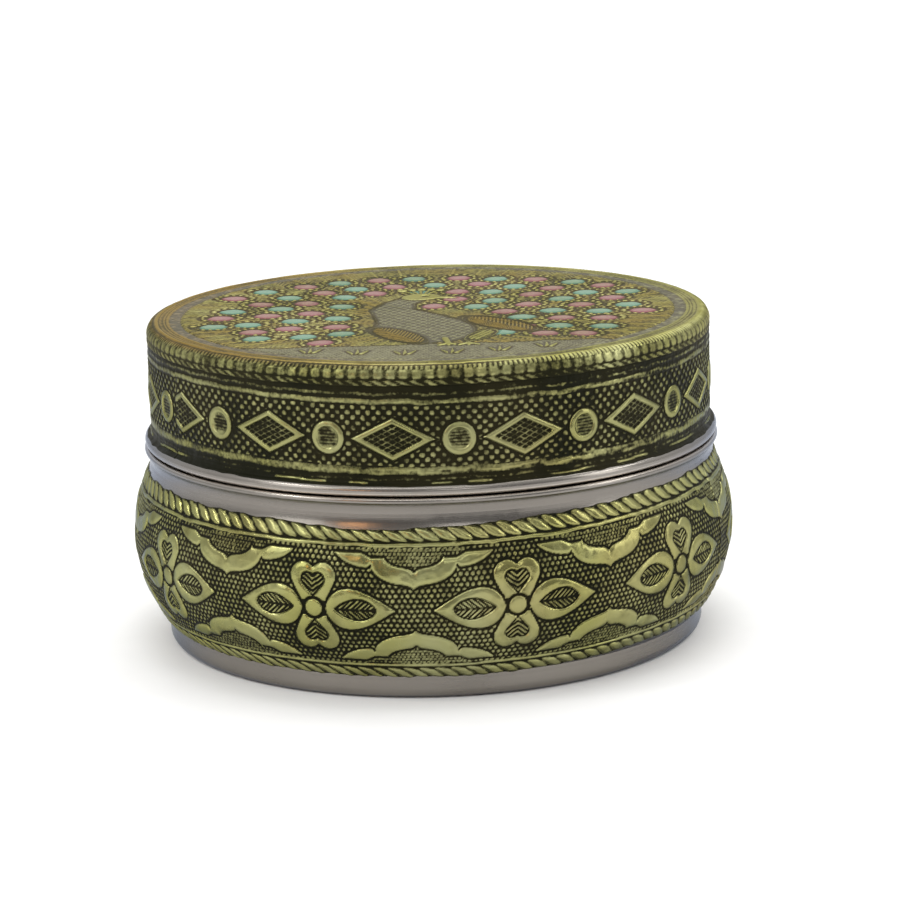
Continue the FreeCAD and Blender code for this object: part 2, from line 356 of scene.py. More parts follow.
def margins(relief, u, v):
    """The crumpled, broken lines along both edges of the strip."""
    wander = 0.25 * waves(u, v * 0, 5.0, 25)
    crumpled = 0.35 + 0.65 * smooth(-0.7, 0.4, np.sin(u / LID_R))
    streaks = (waves(u * 0.4, v * 2.2, 1.6, 26) + 0.6 * waves(u, v, 0.8, 30)) * crumpled
    margin = (v < LID_LINES[0][0] + 1.5) | (v > LID_LINES[1][0] - 1.2)
    relief = np.where(margin, 0.13 + 0.13 * streaks, relief)
    for middle, half, level, broken in LID_LINES:
        line = (level + broken * streaks) * ridge(v - middle + wander, half)
        relief = np.maximum(relief, line)
    patchy = smooth(-0.1, 0.6, waves(u, v * 0, 6.0, 19))
    return np.maximum(relief, (0.22 + 0.7 * patchy) * ridge(v - FOOT_LINE_V + wander, 0.55))


def lid_relief(u, v):
    """The lid strip's relief. v = 0 is the middle of its diamonds."""
    jitter = waves(u, v, 2.4, 21)
    ground_v = v + 0.2 * waves(u, v, 2.9, 22)
    ground = dots(u + 0.25 * jitter, ground_v, LID_DOT_U, LID_DOT_V, LID_DOT_R)
    relief = 0.04 + (0.46 + 0.1 * waves(u, v, 2.0, 29)) * ground
    relief = discs(relief, u, v)
    relief = diamonds(relief, u, v, jitter)
    relief = margins(relief, u, v)
    press = 1 - 0.12 * smooth(-0.2, 0.9, waves(u, v, 15.0, 27))
    return np.clip(relief * press, 0, 1)


def lid_place(u, v, height):
    """Where a point of the lid strip lies: down the wall, out round the flare and over the bead."""
    azimuth = u / LID_MID_R
    z = v + LID_MIDDLE_Z
    beyond = np.clip(FLARE_Z - z, 0, None)
    flare = np.clip(beyond / FLARE_ARC, 0, FLARE_END)
    over = np.clip(beyond / BEAD_ARC - FLARE_END * FLARE_ARC / BEAD_ARC, 0, None)
    facing = flare - over
    hub_r = LID_R + FLARE_ARC - (FLARE_ARC + BEAD_ARC) * math.cos(FLARE_END)
    hub_z = FLARE_Z - (FLARE_ARC + BEAD_ARC) * math.sin(FLARE_END)
    r = np.where(over > 0, hub_r + (BEAD_ARC + height) * np.cos(facing),
                 LID_R + FLARE_ARC - (FLARE_ARC - height) * np.cos(flare))
    z = np.where(over > 0, hub_z + (BEAD_ARC + height) * np.sin(facing),
                 np.maximum(z, FLARE_Z) - (FLARE_ARC - height) * np.sin(flare))
    return around(azimuth, r, z)


# ---------------------------------------------------------------- lid top, border and skirt
FIELD_R = 77.5                  # the peacock's round field
FIELD_CELLS = 312               # across the field
BEADS = 147                     # round the lid's corner
BORDER_COLUMNS = BEADS * 8
BORDER_STEP = 0.43              # from one ring of points to the next
SKIRT_ROPE_S, BEADS_S = 1.1, 3.7        # middles of the rope and of the beads, along the border
PEBBLES_START, PEBBLES_END = 11.3, 15.4
SKIRT_RUN = LID_TOP - CORNER - SKIRT_Z
CORNER_RUN = CORNER * math.pi / 2

# Raised rings on the lid's top: distance along the border, half-width and level of each
RING_LINES = ((7.4, 0.62, 0.86), (8.8, 0.45, 0.62), (9.9, 0.45, 0.66), (11.0, 0.5, 0.7),
              (15.3, 0.5, 0.6))


def border_relief(azimuth, s):
    """The skirt's rope, the beads on the corner and the plain rings on top. s runs up and in."""
    u = azimuth * (LID_R + RELIEF)
    bead = TURN * (LID_R + RELIEF) / BEADS
    wander = waves(u, s, 7.0, 31)
    across = repeat(u + 0.12 * wander, bead)
    # dim is painted shade on the left side: it lowers the rope's and the beads' relief there, so
    # they show less gold and more dark
    dim = smooth(0.1, -0.8, np.sin(azimuth))
    pleated = smooth(0.1, 0.7, np.sin(azimuth))

    # The skirt's rope
    strands = rope(u, s - SKIRT_ROPE_S, pitch=bead, half=1.2, lean=1.7)
    relief = 0.08 + (0.47 + 0.12 * wander - 0.05 * dim) * strands

    # Square-shouldered beads on the corner
    corner = np.hypot(np.clip(np.abs(across) - bead / 2 + 1.15, 0, None),
                      np.clip(np.abs(s - BEADS_S - 0.12 * wander) - 0.7, 0, None))
    relief = np.where(s > 2.05, 0.04 + 0.36 * smooth(2.3, 3.0, s), relief)
    relief = np.maximum(relief, (0.61 + 0.1 * wander - 0.1 * dim) * ridge(corner, 0.98) ** 0.9)

    # Short strokes above them, deeper on the right
    stroke = ridge(repeat(u + 0.3 * wander, bead / 2.5), bead / 6)
    stroke = stroke * smooth(4.7, 5.1, s) * smooth(6.7 + pleated, 6.2 + pleated, s)
    relief = np.where((s > 4.9) & (s < 6.5), 0.34, relief)
    relief = np.maximum(relief, (0.62 + 0.3 * pleated) * stroke)

    # The plain rings on top, and the pebbled ring among them
    relief = np.maximum(relief, (0.3 + 0.1 * wander) * smooth(6.3, 6.8, s))
    for middle, half, level in RING_LINES:
        ring = (level + 0.08 * wander) * ridge(s - middle - 0.1 * wander, half)
        relief = np.maximum(relief, ring)
    pebbled = 0.42 + 0.2 * waves(u, s, 0.9, 32) + 0.14 * waves(u, s, 2.5, 33)
    among = smooth(PEBBLES_START, PEBBLES_START + 0.6, s)
    among = among * smooth(PEBBLES_END, PEBBLES_END - 0.5, s)
    return np.clip(blend(relief, pebbled, among), 0, 1)


def border_place(azimuth, s, height):
    """Up the skirt, round the corner and in across the top."""
    bend_at = np.clip((s - SKIRT_RUN) / CORNER, 0, math.pi / 2)
    inward = np.clip(s - SKIRT_RUN - CORNER_RUN, 0, None)
    rise = np.clip(s, None, SKIRT_RUN)
    r = LID_R - CORNER + (CORNER + height) * np.cos(bend_at) - inward
    z = SKIRT_Z + rise + (CORNER + height) * np.sin(bend_at)
    return around(azimuth, r, z)


# ---------------------------------------------------------------- lid top, the peacock field
FAN = (0.0, -20.0)              # where the tail's quills meet
FAN_START, FAN_SPREAD = -42, 264        # in degrees
QUILLS = 64                     # in a full turn
EYE_GAP = 13.2                  # from eye to eye along a row
EYE_ROWS, FIRST_ROW, ROW_STEP = 5, 29.0, 12.8
EYE_LONG, EYE_SHORT = 4.7, 4.2          # half the size of an eye, and of the frill round it
FRILL_LONG, FRILL_SHORT, FRILL_LOBES = 6.9, 6.1, 15
MEADOW_Y = -55.0                # the ground's upper edge
TINTS = ("turquoise", "pink", "stone", "copper")

# Bars of the bird's breast and neck: one end, the other end and the half-width at each
NECK = ((-5, -14, -11, 2, 11.5, 7.0), (-11, 2, -9, 14, 7.0, 5.0), (-9, 14, -4, 22, 5.0, 4.4))


def segment(x, y, ax, ay, bx, by, wide_a, wide_b):
    """Depth inside a rounded bar whose half-width goes from wide_a to wide_b."""
    dx, dy = bx - ax, by - ay
    t = np.clip(((x - ax) * dx + (y - ay) * dy) / (dx * dx + dy * dy), 0, 1)
    return blend(wide_a, wide_b, t) - np.hypot(x - ax - t * dx, y - ay - t * dy)


def oval(x, y, cx, cy, long, short, degrees):
    """Depth inside an oval whose long axis lies along the angle."""
    c, s = math.cos(math.radians(degrees)), math.sin(math.radians(degrees))
    along, across = (x - cx) * c + (y - cy) * s, (y - cy) * c - (x - cx) * s
    return (1 - np.hypot(along / long, across / short)) * short


def lay(field, shape, level, **tints):
    """Lays a shape over the field: a groove round it, its own relief and its own tints."""
    field["relief"] = blend(groove(field["relief"], shape, 0.7), level, smooth(-0.2, 0.3, shape))
    cover = smooth(-0.4, 0.2, shape)
    for tint in TINTS:
        field[tint] = blend(field[tint], tints.get(tint, 0.0), cover)


def bird_body(x, y):
    """Depth inside the peacock's body and curved neck."""
    body = oval(x, y, -1, -30, long=23, short=15, degrees=100)
    for bar in NECK:
        body = np.maximum(body, segment(x, y, *bar))
    return body


def fan_eyes():
    """Centre, outward angle and tint of each eye in the tail fan, in staggered rows."""
    chance = np.random.default_rng(40)
    for row in range(EYE_ROWS):
        radius = FIRST_ROW + ROW_STEP * row
        count = int(radius * math.radians(FAN_SPREAD) / EYE_GAP)
        for index in range(count + 1):
            degrees = FAN_START + FAN_SPREAD * (index + 0.5 * (row % 2)) / (count + 0.5)
            lean = math.radians(degrees)
            x = FAN[0] + radius * math.cos(lean) + chance.uniform(-1.5, 1.5)
            y = FAN[1] + radius * math.sin(lean) + chance.uniform(-1.5, 1.5)
            clear_of_bird = bird_body(np.float64(x), np.float64(y)) < -4.5
            if math.hypot(x, y) < FIELD_R - 6.2 and y > MEADOW_Y + 6 and clear_of_bird:
                yield x, y, degrees, TINTS[(index + row) % 2]


def tail_fan(x, y):
    """Barbs and quills spreading from the bird, and the enamelled eyes over them."""
    fx, fy = x - FAN[0], y - FAN[1]
    radius, angle = np.hypot(fx, fy), np.arctan2(fy, fx)
    crumple = waves(x, y, 1.7, 41) + 0.5 * waves(x, y, 0.9, 42)
    off_quill = np.abs(repeat(angle, TURN / QUILLS)) * radius
    barbs = np.cos(TURN * (radius / 1.9 - 0.55 * off_quill))
    relief = 0.42 + 0.22 * smooth(-0.5, 0.8, barbs + 0.5 * crumple) + 0.08 * crumple
    relief = np.maximum(relief, 0.8 * ridge(off_quill, 0.5) * smooth(20, 26, radius))
    field = {tint: np.zeros_like(x) for tint in TINTS}
    field["relief"] = relief
    field["copper"] = 0.35 + 0.35 * waves(x, y, 9.0, 43)
    for cx, cy, degrees, tint in fan_eyes():
        spokes = np.cos(FRILL_LOBES * np.arctan2(y - cy, x - cx))
        frill = 0.22 + 0.6 * smooth(-0.5, 0.6, spokes + 0.8 * crumple)
        shape = oval(x, y, cx, cy, FRILL_LONG, FRILL_SHORT, degrees) + 0.4 * crumple
        lay(field, shape, frill, copper=0.15)
        cell = oval(x, y, cx, cy, EYE_LONG, EYE_SHORT, degrees) + 0.2 * crumple
        lay(field, cell, 0.92, copper=0.2)
        lay(field, cell - 0.6, 0.5 + 0.14 * smooth(0.6, 3.0, cell) + 0.04 * crumple, **{tint: 1.0})
    return field


def meadow(field, x, y):
    """Pebbled ground under the bird, with tufts of grass."""
    shape = MEADOW_Y - y + 1.2 * waves(x, y, 5.0, 44)
    pebbles = 0.3 + 0.3 * dots(x, y, 1.5, 1.3, 0.75) + 0.06 * waves(x, y, 0.9, 45)
    lay(field, shape, pebbles, stone=1.0)
    for index in range(6):
        root_x = -35 + 14 * index
        root_y = -70 + 0.005 * root_x ** 2
        for lean in (-3.2, 0.0, 3.2):
            tip_y = root_y + 6.5 - 0.5 * abs(lean)
            blade = segment(x, y, root_x + lean / 3, root_y, root_x + lean, tip_y, 0.75, 0.3)
            lay(field, blade, 0.8)


def wing(field, x, y, cx, cy, long, short, degrees):
    """One folded wing, hatched to both sides of its middle line."""
    shape = oval(x, y, cx, cy, long, short, degrees)
    lay(field, shape, 0.85, copper=0.3)
    lean = math.radians(degrees)
    along = x * math.cos(lean) + y * math.sin(lean)
    across = y * math.cos(lean) - x * math.sin(lean)
    off_middle = np.abs(across - cy * math.cos(lean) + cx * math.sin(lean))
    hatch = np.cos(TURN * (along - 1.2 * off_middle) / 1.8)
    lay(field, shape - 0.8, 0.22 + 0.5 * smooth(-0.4, 0.7, hatch), copper=0.8)


def foot(field, x, y, step):
    """One leg and its three toes."""
    shape = segment(x, y, step, -47, step + 1, -55, 1.1, 0.9)
    for toe in (-3, 0, 3):
        shape = np.maximum(shape, segment(x, y, step + 1, -55, step + 1 + toe, -58, 0.8, 0.5))
    lay(field, shape, 0.9)


def head(field, x, y):
    """A crest of five feathers with round tips, then the head over it, with beak and eye."""
    for index in range(5):
        lean = math.radians(62 + 14 * index)
        tip_x, tip_y = -2 + 13 * math.cos(lean), 25 + 13 * math.sin(lean)
        lay(field, segment(x, y, -2, 26, tip_x, tip_y, 0.5, 0.5), 0.85)
        lay(field, 1.7 - np.hypot(x - tip_x, y - tip_y), 0.95)
    skull = oval(x, y, -2, 24, long=6.4, short=5.2, degrees=15)
    beak = segment(x, y, 3, 23, 9.5, 21, wide_a=1.9, wide_b=0.3)
    lay(field, np.maximum(skull, beak), 0.97)
    lay(field, 0.9 - np.hypot(x + 0.5, y - 25.2), 0.2)


def bird(field, x, y):
    """The peacock: scaled body and neck, two wings, feet, a hanging plume, crest and head."""
    body = bird_body(x, y)
    lay(field, body, 0.9, stone=0.3)
    feathers = 0.3 + 0.34 * scales(x, -y, wide=3.0, tall=2.4) + 0.06 * waves(x, y, 0.8, 46)
    lay(field, body - 0.8, feathers, stone=1.0)
    wing(field, x, y, -9, -40, long=16, short=6.0, degrees=118)
    wing(field, x, y, 22, -25, long=17, short=6.5, degrees=128)
    for step in (5, 11):
        foot(field, x, y, step)
    plume = oval(x, y, 16, -43, long=10.0, short=3.8, degrees=66)
    lay(field, plume, 0.95)
    lay(field, plume - 0.9, 0.4 + 0.45 * smooth(-0.3, 0.6, np.cos(TURN * (0.5 * y - x) / 1.7)))
    head(field, x, y)


def peacock(x, y):
    """The whole picture: its relief, and how much of each tint lies at every point."""
    field = tail_fan(x, y)
    meadow(field, x, y)
    bird(field, x, y)
    field["relief"] = np.clip(field["relief"], 0, 1)
    return field


def disc_grid(radius, cells):
    """A square grid bent evenly into a disc."""
    line = np.linspace(-1, 1, cells + 1)
    a, b = np.meshgrid(line, line)
    wide = np.abs(a) > np.abs(b)
    major = np.where(wide, a, b)
    minor = np.where(wide, b, a)
    angle = math.pi / 4 * minor / np.where(major == 0, 1, major)
    cos, sin = np.cos(angle) * major, np.sin(angle) * major
    return radius * np.where(wide, cos, sin), radius * np.where(wide, sin, cos)


# ---------------------------------------------------------------- meshes
LAP_FLATTENED, LAP_LIFT = 0.45, 0.24    # share of the relief lost, and height gained, on a lap


def grid_piece(name, points, fields, closed=False):
    """A smooth mesh over a grid of points, with one float value per field at each point."""
    rows, columns = points.shape[:2]
    mesh = bpy.data.meshes.new(name)
    mesh.vertices.add(rows * columns)
    mesh.vertices.foreach_set("co", (points * MM).astype(np.float32).ravel())
    index = np.arange(rows * columns).reshape(rows, columns)
    if closed:
        index = np.concatenate([index, index[:, :1]], 1)
    quads = np.stack([index[:-1, :-1], index[:-1, 1:], index[1:, 1:], index[1:, :-1]], -1)
    quads = quads.reshape(-1, 4)
    mesh.loops.add(quads.size)
    mesh.loops.foreach_set("vertex_index", quads.ravel().astype(np.int32))
    mesh.polygons.add(len(quads))
    mesh.polygons.foreach_set("loop_start", np.arange(0, quads.size, 4, dtype=np.int32))
    mesh.update(calc_edges=True)
    mesh.validate()
    mesh.shade_smooth()
    for field, values in fields.items():
        layer = mesh.attributes.new(field, "FLOAT", "POINT")
        layer.data.foreach_set("value", values.astype(np.float32).ravel())
    piece = bpy.data.objects.new(name, mesh)
    bpy.context.scene.collection.objects.link(piece)
    return piece


def edge_drop(height, columns=False):
    """Brings the outermost points of a strip down onto the steel."""
    height = height.copy()
    height[0, :] = height[-1, :] = -FILM
    if columns:
        height[:, 0] = height[:, -1] = -FILM
    return height


def lap(height, past_start):
    """Flattens the relief at a strip's starting end and lifts that end over its neighbour's."""
    near = smooth(4.0, 1.5, past_start)
    return height * (1 - LAP_FLATTENED * near) + LAP_LIFT * near


def belly_strip(name, start, length):
    """One length of the belly strip, cut a little ragged along both edges."""
    columns = round(length / STEP_U)
    rows = round(2 * STRIP_V / STEP_V)
    u, v = np.meshgrid(start + np.arange(columns + 1) * STEP_U,
                       (np.arange(rows + 1) - rows / 2) * STEP_V)
    relief = belly_relief(u - BAND_FLOWER, v)
    ragged = 0.35 * waves(u, v * 0, 5.0, 16) + 0.2 * waves(u, v * 0, 1.6, 17)
    place_v = v + ragged * smooth(STRIP_V - 1.6, STRIP_V, np.abs(v))
    height = edge_drop(lap(relief * RELIEF, u - start), columns=True)
    return grid_piece(name, belly_place(u, place_v, height), {"relief": relief})


def lid_strip(name, start, length, slip):
    """One length of the lid strip, its pattern slipped sideways by the given length."""
    columns = round(length / LID_STEP_U)
    top, bottom = SKIRT_Z + LID_TUCK - LID_MIDDLE_Z, LID_FOOT_Z - LID_MIDDLE_Z
    rows = round((top - bottom) / LID_STEP_V)
    u, v = np.meshgrid(start + np.arange(columns + 1) * LID_STEP_U,
                       bottom + np.arange(rows + 1) * LID_STEP_V)
    azimuth = u / LID_MID_R

    # The pattern lies lowest in front and rises a little towards the sides
    wobble = 1.0 - np.cos(1.5 * (azimuth - math.radians(8))) * np.exp(-azimuth ** 2 / 2)
    relief = lid_relief(u - LID_DIAMOND - slip, v - 1.2 * wobble + 0.7)
    ragged = 0.25 * waves(u, v * 0, 4.0, 28) * smooth(bottom + 1.5, bottom, v)
    lining = LINING * smooth(LINING_V + 0.8, LINING_V, v)
    height = edge_drop(lap(np.maximum(relief * RELIEF, lining), u - start), columns=True)
    return grid_piece(name, lid_place(u, v + ragged, height), {"relief": relief})


def top_border():
    """The folded skirt, the beaded corner and the plain rings."""
    inner = LID_R - CORNER - FIELD_R
    run = SKIRT_RUN + CORNER_RUN + inner
    azimuth, s = np.meshgrid(np.arange(BORDER_COLUMNS) * TURN / BORDER_COLUMNS,
                             np.linspace(0, run, round(run / BORDER_STEP) + 1))
    relief = border_relief(azimuth, s)
    ragged = (0.1 + 0.2 * waves(azimuth * LID_R, s * 0, 3.5, 34)) * smooth(1.0, 0.0, s)
    height = edge_drop(relief * RELIEF)
    points = border_place(azimuth, s + ragged, height)
    left = smooth(0.3, -0.9, np.sin(azimuth)) * smooth(4.5, 6.5, s)
    stone = smooth(PEBBLES_START, PEBBLES_START + 0.6, s)
    fields = {"relief": relief, "stone": stone, "copper": left, "flat": smooth(5.2, 7.0, s)}
    return grid_piece("top_border_foil", points, fields, closed=True)


def top_field():
    """The round field with the peacock."""
    x, y = disc_grid(FIELD_R, FIELD_CELLS)
    field = peacock(x, y)
    field["flat"] = np.ones_like(x)
    height = np.where(np.hypot(x, y) > FIELD_R - 0.2, -FILM, field["relief"] * RELIEF)
    return grid_piece("top_field_foil", np.stack([x, y, LID_TOP + height], -1), field)


# ---------------------------------------------------------------- materials
class Nodes:
    """A small way to write a node material as expressions."""

    def __init__(self, name):
        self.material = bpy.data.materials.new(name)
        self.material.use_nodes = True
        self.tree = self.material.node_tree
        self.shader = self.tree.nodes["Principled BSDF"]

    def node(self, kind, inputs=(), **settings):
        """Adds a node, with values or links for its inputs."""
        made = self.tree.nodes.new(kind)
        for key, value in settings.items():
            setattr(made, key, value)
        for key, value in dict(inputs).items():
            self.feed(made.inputs[key], value)
        return made

    def feed(self, socket, value):
        """Gives an input a link or a plain value."""
        if isinstance(value, bpy.types.NodeSocket):
            self.tree.links.new(value, socket)
        else:
            socket.default_value = value

    def noise(self, place, scale, detail=3.0, roughness=0.55):
        """Cloudy noise, mostly 0.3 to 0.7."""
        made = self.node("ShaderNodeTexNoise", {"Vector": place, "Scale": scale, "Detail": detail,
                                                "Roughness": roughness})
        return made.outputs["Fac"]

    def math(self, operation, a, b=0.0):
        """One step of arithmetic on one or two values."""
        made = self.node("ShaderNodeMath", operation=operation)
        self.feed(made.inputs[0], a)
        self.feed(made.inputs[1], b)
        return made.outputs[0]

    def span(self, value, low, high, to_low=0.0, to_high=1.0):
        """Maps low..high onto to_low..to_high, and stops at both ends."""
        made = self.node("ShaderNodeMapRange", {"Value": value, "From Min": low, "From Max": high,
                                                "To Min": to_low, "To Max": to_high})
        return made.outputs["Result"]

    def mix(self, share, a, b):
        """Colour a where share is 0, colour b where it is 1."""
        made = self.node("ShaderNodeMix", data_type="RGBA")
        self.feed(made.inputs["Factor"], share)
        self.feed(made.inputs["A"], a if isinstance(a, bpy.types.NodeSocket) else (*a, 1))
        self.feed(made.inputs["B"], b if isinstance(b, bpy.types.NodeSocket) else (*b, 1))
        return made.outputs["Result"]

    def place(self):
        """The point's own position, in metres."""
        return self.node("ShaderNodeTexCoord").outputs["Object"]

    def attribute(self, name):
        """A value stored at the points of the mesh."""
        return self.node("ShaderNodeAttribute", attribute_name=name).outputs["Fac"]

    def bump(self, height, strength, distance):
        """Small dents too fine for the mesh."""
        made = self.node("ShaderNodeBump", {"Height": height, "Strength": strength,
                                            "Distance": distance})
        self.feed(self.shader.inputs["Normal"], made.outputs["Normal"])

    def set(self, **values):
        """Sets the shader's inputs: an underscore stands for a space."""
        for key, value in values.items():
            self.feed(self.shader.inputs[key.replace("_", " ")], value)


SIDE_GILT = (0.24, 0.60)                # relief at which the gold starts and is full
TOP_GILT = (0.32, 0.72)
GAP_HIGHLIGHT_Z = 0.0629                          # height of a painted highlight: a bright band on the steel where the lid's rim meets the base's ledge, lightening the shadowed gap there
GAP_HIGHLIGHT_FULL, GAP_HIGHLIGHT_FADED = 0.0004, 0.0011    # how far from there the painted bright band is full and ends

# Colours as linear red, green and blue. The three edges tint the glancing reflections
GOLD = (0.275, 0.27, 0.092)
GOLD_PALE = (0.33, 0.33, 0.158)
GOLD_WARM = (0.30, 0.24, 0.085)
COPPER = (0.26, 0.17, 0.062)
PATINA = (0.008, 0.008, 0.0025)
PATINA_BROWN = (0.020, 0.017, 0.006)
DIM_GOLD = (0.030, 0.026, 0.010)
DIM_COPPER = (0.055, 0.035, 0.015)
STONE = (0.090, 0.082, 0.058)
SIDE_EDGE = (0.42, 0.46, 0.54, 1)
TOP_EDGE = (0.72, 0.68, 0.45, 1)
STEEL_EDGE = (0.6, 0.66, 0.78, 1)
SATIN_STEEL = (0.25, 0.23, 0.205)
BRIGHT_STEEL = (0.42, 0.40, 0.375)
# Painted highlight: the bright steel of the band at the lid's rim and the base's ledge
GAP_HIGHLIGHT_STEEL = (0.55, 0.50, 0.44)
TARNISH = (0.125, 0.115, 0.045)
TURQUOISE = (0.085, 0.22, 0.155)
PINK = (0.22, 0.060, 0.080)


def gilt(nodes, relief, dark, dark_soft, gilt_range, copper, tarnish_and_shade=0.0):
    """Antique gold: bright where the foil stands up, dark where it is pressed in."""
    place = nodes.place()
    patch = nodes.noise(place, scale=38.0, detail=4.0)
    fine = nodes.noise(place, scale=900.0, detail=2.0)
    tone = nodes.mix(nodes.span(patch, 0.35, 0.65), GOLD, GOLD_PALE)
    warm = nodes.noise(place, scale=14.0, detail=3.0)
    warm = nodes.span(warm, 0.55, 0.75, to_high=0.7)
    tone = nodes.mix(warm, tone, GOLD_WARM)
    tarnished = nodes.noise(place, scale=130.0, detail=3.0)
    tarnished = nodes.span(tarnished, 0.48, 0.75, to_low=tarnish_and_shade, to_high=0.65)
    tone = nodes.mix(tarnished, tone, TARNISH)
    tone = nodes.mix(copper, tone, COPPER)
    level = nodes.math("ADD", relief, nodes.span(fine, 0.3, 0.7, to_low=-0.09, to_high=0.09))
    level = nodes.math("ADD", level, nodes.span(patch, 0.3, 0.7, to_low=-0.06, to_high=0.06))
    low, high = gilt_range
    bare = nodes.node("ShaderNodeMapRange", {"Value": level, "From Min": low, "From Max": high},
                      interpolation_type="SMOOTHSTEP").outputs["Result"]
    soot = nodes.mix(nodes.span(patch, 0.4, 0.7), dark, dark_soft)
    return nodes.mix(bare, soot, tone), bare, patch, fine


def foil_material(name, tarnish_and_shade):
    """Embossed foil on the side of the box. The least share of the tarnish colour runs from 0,
    clean, to 1; the lid's larger share darkens its whole foil as painted shade.
    """
    nodes = Nodes(name)
    relief = nodes.attribute("relief")
    colour, bare, patch, fine = gilt(nodes, relief, PATINA, PATINA_BROWN, SIDE_GILT,
                                     copper=0.0, tarnish_and_shade=tarnish_and_shade)
    rough = nodes.math("ADD", nodes.span(bare, 0.0, 1.0, to_low=0.55, to_high=0.27),
                       nodes.span(patch, 0.3, 0.7, to_low=-0.05, to_high=0.08))
    metal = nodes.span(bare, 0.0, 1.0, to_low=0.2)
    nodes.set(Base_Color=colour, Roughness=rough, Metallic=metal, Specular_IOR_Level=0.12,
              Specular_Tint=SIDE_EDGE)
    dents = nodes.noise(nodes.place(), scale=110.0, detail=2.0)
    dents = nodes.math("ADD", dents, nodes.math("MULTIPLY", relief, 0.35))
    height = nodes.math("ADD", nodes.math("MULTIPLY", fine, 0.06), dents)
    nodes.bump(height, strength=0.6, distance=0.0017)
    return nodes.material


def enamel_material():
    """Embossed foil on the lid's top, washed with turquoise, pink and stone grey enamel."""
    nodes = Nodes("enamelled gold foil")
    relief = nodes.attribute("relief")
    stone = nodes.attribute("stone")
    flat = nodes.attribute("flat")
    dark = nodes.mix(flat, PATINA, DIM_GOLD)
    dark_soft = nodes.mix(flat, PATINA_BROWN, DIM_COPPER)
    colour, bare, patch, fine = gilt(nodes, relief, dark, dark_soft, TOP_GILT,
                                     copper=nodes.attribute("copper"))
    grey = nodes.math("MULTIPLY", stone, 0.55)
    colour = nodes.mix(grey, colour, STONE)
    worn = nodes.span(patch, 0.3, 0.6, to_low=0.6, to_high=0.9)
    turquoise = nodes.math("MULTIPLY", nodes.attribute("turquoise"), worn)
    pink = nodes.math("MULTIPLY", nodes.attribute("pink"), worn)
    colour = nodes.mix(turquoise, colour, TURQUOISE)
    colour = nodes.mix(pink, colour, PINK)
    covered = nodes.math("MAXIMUM", nodes.math("MAXIMUM", turquoise, pink), grey)
    metal = nodes.math("MULTIPLY", nodes.span(bare, 0.0, 1.0, to_low=0.45),
                       nodes.math("SUBTRACT", 1.0, covered))
    rough = nodes.span(bare, 0.0, 1.0, to_low=0.55, to_high=0.33)
    nodes.set(Base_Color=colour, Roughness=rough, Metallic=metal, Specular_IOR_Level=0.25,
              Specular_Tint=TOP_EDGE)
    dents = nodes.noise(nodes.place(), scale=160.0, detail=2.0)
    height = nodes.math("ADD", nodes.math("MULTIPLY", fine, 0.2), dents)
    nodes.bump(height, strength=0.35, distance=0.0005)
    return nodes.material


def steel_material(name, tone, rings, base_rough):
    """Spun stainless steel: fine lathe rings, soft smears and small scratches."""
    nodes = Nodes(name)
    place = nodes.place()
    parts = nodes.node("ShaderNodeSeparateXYZ", {"Vector": place})
    x, y, z = parts.outputs
    squares = nodes.math("ADD", nodes.math("MULTIPLY", x, x), nodes.math("MULTIPLY", y, y))
    radius = nodes.math("SQRT", squares)
    lathe = nodes.node("ShaderNodeCombineXYZ", {"X": radius, "Z": z}).outputs["Vector"]
    fine = nodes.noise(lathe, scale=rings, detail=4.0, roughness=0.65)
    broad = nodes.noise(lathe, scale=rings / 8, detail=2.0)
    smear = nodes.noise(place, scale=22.0, detail=4.0)
    dull = tuple(0.72 * value for value in tone)
    colour = nodes.mix(nodes.span(smear, 0.35, 0.7, to_high=0.5), tone, dull)
    colour = nodes.mix(nodes.span(broad, 0.45, 0.62, to_high=0.6), colour, dull)
    # A painted highlight: a bright band at the rim and the ledge that lightens the dark gap between
    # them
    from_gap_highlight = nodes.math("ABSOLUTE", nodes.math("SUBTRACT", z, GAP_HIGHLIGHT_Z))
    colour = nodes.mix(nodes.span(from_gap_highlight, GAP_HIGHLIGHT_FADED, GAP_HIGHLIGHT_FULL), colour, GAP_HIGHLIGHT_STEEL)
    rough = nodes.span(smear, 0.3, 0.7, to_low=base_rough - 0.05, to_high=base_rough + 0.08)
    rough = nodes.math("ADD", rough, nodes.span(fine, 0.3, 0.7, to_low=-0.04, to_high=0.04))
    nodes.set(Base_Color=colour, Roughness=rough, Metallic=1.0, Specular_Tint=STEEL_EDGE)
    height = nodes.math("ADD", nodes.math("MULTIPLY", fine, 0.3), broad)
    nodes.bump(height, strength=0.3, distance=0.0003)
    return nodes.material


def floor_material():
    """A pale, matt floor with faint specks."""
    nodes = Nodes("pale floor")
    speck = nodes.noise(nodes.place(), scale=60.0, detail=3.0)
    nodes.set(Base_Color=nodes.mix(speck, (0.86, 0.86, 0.86), (0.9, 0.9, 0.9)), Roughness=0.7)
    return nodes.material


# ---------------------------------------------------------------- assembly
def dress(piece, material, body, node):
    """Gives a relief piece its material and its place in the frame."""
    piece.data.materials.append(material)
    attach(piece, body)
    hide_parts(node)


def set_material(node, material):
    """Gives a CAD node its one material."""
    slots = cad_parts[node].data.materials
    slots.clear()
    slots.append(material)


belly_foil = foil_material("antique gold foil", tarnish_and_shade=0.03)
# Painted shade: the lid's side gets the same foil made darker all over, because the lamps light it
# more strongly than the belly
shaded_lid_foil = foil_material("shaded gold foil", tarnish_and_shade=0.25)
top_foil = enamel_material()
steel = steel_material("satin steel", SATIN_STEEL, rings=1500.0, base_rough=0.23)
bright_steel = steel_material("bright steel", BRIGHT_STEEL, rings=1800.0, base_rough=0.2)

